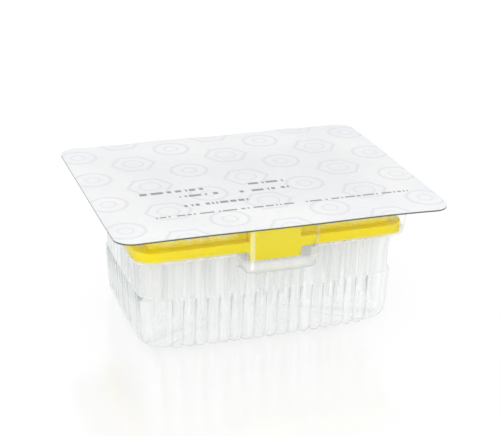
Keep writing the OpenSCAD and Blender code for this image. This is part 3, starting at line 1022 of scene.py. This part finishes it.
def make_lidding():
    m = new_material("spun-bonded polyethylene lidding")
    place = add(m, "ShaderNodeTexCoord")
    mm = add(m, "ShaderNodeVectorMath", {0: place.outputs["Object"], 1: (1000, 1000, 1000)},
             operation="MULTIPLY").outputs[0]
    fibre = add(m, "ShaderNodeTexNoise", {
        "Vector": mm, "Scale": 1 / fibre_mm, "Detail": 6.0, "Roughness": 0.7})
    broad = add(m, "ShaderNodeTexNoise", {"Vector": mm, "Scale": 1 / shade_mm, "Detail": 1.0})
    both_noises = add(m, "ShaderNodeMath", {0: fibre.outputs["Fac"], 1: broad.outputs["Fac"]},
                      operation="ADD")
    mottle = add(m, "ShaderNodeMath", {0: both_noises.outputs[0], 1: 0.5}, operation="MULTIPLY")
    paper = add(m, "ShaderNodeMix", {
        "Factor": mottle.outputs[0], "A": colour("#DFE0E5"), "B": colour("#FAFAF8")},
        data_type="RGBA")
    faint = add(m, "ShaderNodeMath", {0: motif_mask(m, mm), 1: motif_ink}, operation="MULTIPLY")
    pale = add(m, "ShaderNodeMix", {
        "Factor": faint.outputs[0], "A": paper.outputs["Result"], "B": colour("#DCDDE6")},
        data_type="RGBA")
    strong = add(m, "ShaderNodeMath", {0: bar_mask(m, mm), 1: bar_ink}, operation="MULTIPLY")
    inked = add(m, "ShaderNodeMix", {
        "Factor": strong.outputs[0], "A": pale.outputs["Result"], "B": colour("#6A6A72")},
        data_type="RGBA")
    bump = add(m, "ShaderNodeBump", {
        "Height": fibre.outputs["Fac"], "Strength": 0.15, "Distance": 0.0002})
    front = add(m, "ShaderNodeBsdfPrincipled", {
        "Base Color": inked.outputs["Result"], "Roughness": 0.48, "IOR": 1.5,
        "Normal": bump.outputs[0]})
    through = add(m, "ShaderNodeBsdfTranslucent", {"Color": inked.outputs["Result"]})
    shader = add(m, "ShaderNodeMixShader", {
        "Fac": 0.08, 1: front.outputs[0], 2: through.outputs[0]})
    return finish_material(m, shader.outputs[0])


sheet.data.materials.append(make_lidding())


# %% [markdown]
# ## The plate
#
# The plate is injection-moulded polypropylene, coloured through: satin, bright,
# and a little translucent, so its edges glow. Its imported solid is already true,
# so it only gets a material and a small bevel, as a mould never leaves a sharp
# edge. The bevel is a modifier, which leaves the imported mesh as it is.

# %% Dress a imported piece
def dress(node, material, bevel_mm=0):
    """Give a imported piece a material, and soft edges if asked."""
    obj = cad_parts[node]
    obj.data.materials.clear()
    obj.data.materials.append(material)
    if bevel_mm:
        bevel = obj.modifiers.new("soft edges", "BEVEL")
        bevel.width = bevel_mm / 1000
        bevel.segments = 2
        bevel.limit_method = "ANGLE"
        bevel.angle_limit = math.radians(40)


# %% Plate material
# Colour that flowed in clouds, and the mould's grain, coarser than the real one
# so that it shows
flow_mm, grain_mm = 16.67, 1.111


def make_plate_plastic():
    m = new_material("moulded yellow polypropylene")
    clouds = add(m, "ShaderNodeTexNoise", {"Scale": 1000 / flow_mm, "Detail": 3.0})
    tone = add(m, "ShaderNodeMix", {
        "Factor": clouds.outputs["Fac"], "A": colour("#FFE200"), "B": colour("#FFEA08")},
        data_type="RGBA")
    grain = add(m, "ShaderNodeTexNoise", {"Scale": 1000 / grain_mm, "Detail": 2.0})
    bump = add(m, "ShaderNodeBump", {
        "Height": grain.outputs["Fac"], "Strength": 0.1, "Distance": 0.0001})
    skin = add(m, "ShaderNodeBsdfPrincipled", {
        "Base Color": tone.outputs["Result"], "Roughness": 0.36, "IOR": 1.49,
        "Specular IOR Level": 0.3, "Subsurface Weight": 0.8,
        "Subsurface Radius": (0.004, 0.0034, 0.0008), "Subsurface Scale": 0.8,
        "Normal": bump.outputs[0]})
    through = add(m, "ShaderNodeBsdfTranslucent", {"Color": tone.outputs["Result"]})
    shader = add(m, "ShaderNodeMixShader", {
        "Fac": 0.25, 1: skin.outputs[0], 2: through.outputs[0]})
    return finish_material(m, shader.outputs[0])


dress("tip_plate", make_plate_plastic(), bevel_mm=0.25)
print("plate dressed")


# %% [markdown]
# ## The filters
#
# Each tip holds a plug of sintered polyethylene: small white grains fused
# together, matt and porous. Cells of a Voronoi texture stand for the grains.

# %% Filter material
pore_mm = 0.4                         # from one fused grain to the next


def make_filter():
    m = new_material("sintered polyethylene filter")
    pores = add(m, "ShaderNodeTexVoronoi", {"Scale": 1000 / pore_mm})
    tone = add(m, "ShaderNodeMix", {
        "Factor": pores.outputs["Distance"], "A": colour("#E4E4E0"), "B": colour("#F6F6F3")},
        data_type="RGBA")
    bump = add(m, "ShaderNodeBump", {
        "Height": pores.outputs["Distance"], "Strength": 0.4, "Distance": 0.0002})
    shader = add(m, "ShaderNodeBsdfPrincipled", {
        "Base Color": tone.outputs["Result"], "Roughness": 0.85, "Normal": bump.outputs[0]})
    return finish_material(m, shader.outputs[0])


filter_plastic = make_filter()
column_numbers = range(1, 13)
for number in column_numbers:
    dress(f"filters_column_{number}", filter_plastic)
print("filters dressed in", len(column_numbers), "columns")


# %% [markdown]
# ## The tips
#
# A tip is moulded from natural polypropylene, which is cloudy rather than clear,
# and more so at its outline. Light that enters it comes out softened on the far
# side, so more than half of it is scattered forwards. Its shape is a profile
# turned round an axis, up the outside and down into the mouth. One mesh holds
# the eight tips of a column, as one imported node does.

# %% Tip material
tip_flow_mm = 8.333                   # flow clouds in the cloudy plastic


def make_tip_plastic():
    m = new_material("moulded natural polypropylene")
    facing = add(m, "ShaderNodeLayerWeight", {"Blend": 0.4})
    alpha = add(m, "ShaderNodeMapRange", {
        "Value": facing.outputs["Facing"], "From Min": 0.1, "From Max": 0.9,
        "To Min": 0.72, "To Max": 0.95})
    clouds = add(m, "ShaderNodeTexNoise", {"Scale": 1000 / tip_flow_mm, "Detail": 2.0})
    tone = add(m, "ShaderNodeMix", {
        "Factor": clouds.outputs["Fac"], "A": colour("#F8F9F9"), "B": colour("#FDFDFD")},
        data_type="RGBA")
    skin = add(m, "ShaderNodeBsdfPrincipled", {
        "Base Color": tone.outputs["Result"], "Roughness": 0.28, "IOR": 1.49})
    through = add(m, "ShaderNodeBsdfTranslucent", {"Color": tone.outputs["Result"]})
    cloudy = add(m, "ShaderNodeMixShader", {
        "Fac": 0.6, 1: skin.outputs[0], 2: through.outputs[0]})
    clear = add(m, "ShaderNodeBsdfTransparent")
    shader = add(m, "ShaderNodeMixShader", {
        "Fac": alpha.outputs[0], 1: clear.outputs[0], 2: cloudy.outputs[0]})
    return finish_material(m, shader.outputs[0])


tip_plastic = make_tip_plastic()


# %% Columns of tips
head_r = 3.3                          # radius of a head between its ribs, in mm
# Radius in millimetres and share of the tip's length: the cone, the shoulder,
# the neck, the head, and then down into the mouth
tip_profile = ((0.45, 0.0), (0.8, 0.0), (0.86, 0.02), (1.42, 0.3), (2.05, 0.574),
               (2.35, 0.58), (2.6, 0.72), (2.85, 0.888), (head_r, 0.888), (head_r, 0.995),
               (3.25, 1.0), (2.9, 1.0), (2.85, 0.995), (2.4, 0.88), (2.3, 0.82))
tips_in_column, around_tip = 8, 28


def make_tips(number):
    low, high = box_mm(f"tips_column_{number}")
    middle_x = (low[0] + high[0]) / 2
    turn = 2 * np.pi * np.arange(around_tip) / around_tip
    verts, faces = [], []
    for y in np.linspace(low[1] + head_r, high[1] - head_r, tips_in_column):
        base = len(verts)
        for r, share in tip_profile:
            z = low[2] + (high[2] - low[2]) * share
            verts += [(middle_x + r * math.cos(t), y + r * math.sin(t), z) for t in turn]
        for p in range(base, len(verts) - around_tip, around_tip):
            q = p + around_tip
            faces += [(p + i, p + (i + 1) % around_tip, q + (i + 1) % around_tip, q + i)
                      for i in range(around_tip)]
    mesh = bpy.data.meshes.new(f"tips_{number}")
    mesh.from_pydata((np.array(verts) / 1000).tolist(), [], faces)
    smooth(mesh, 40)
    mesh.materials.append(tip_plastic)
    tips = bpy.data.objects.new(f"tips_{number}", mesh)
    bpy.context.scene.collection.objects.link(tips)
    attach(tips, "root")
    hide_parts(f"tips_column_{number}")


for number in column_numbers:
    make_tips(number)
print("tips:", len(column_numbers) * tips_in_column)
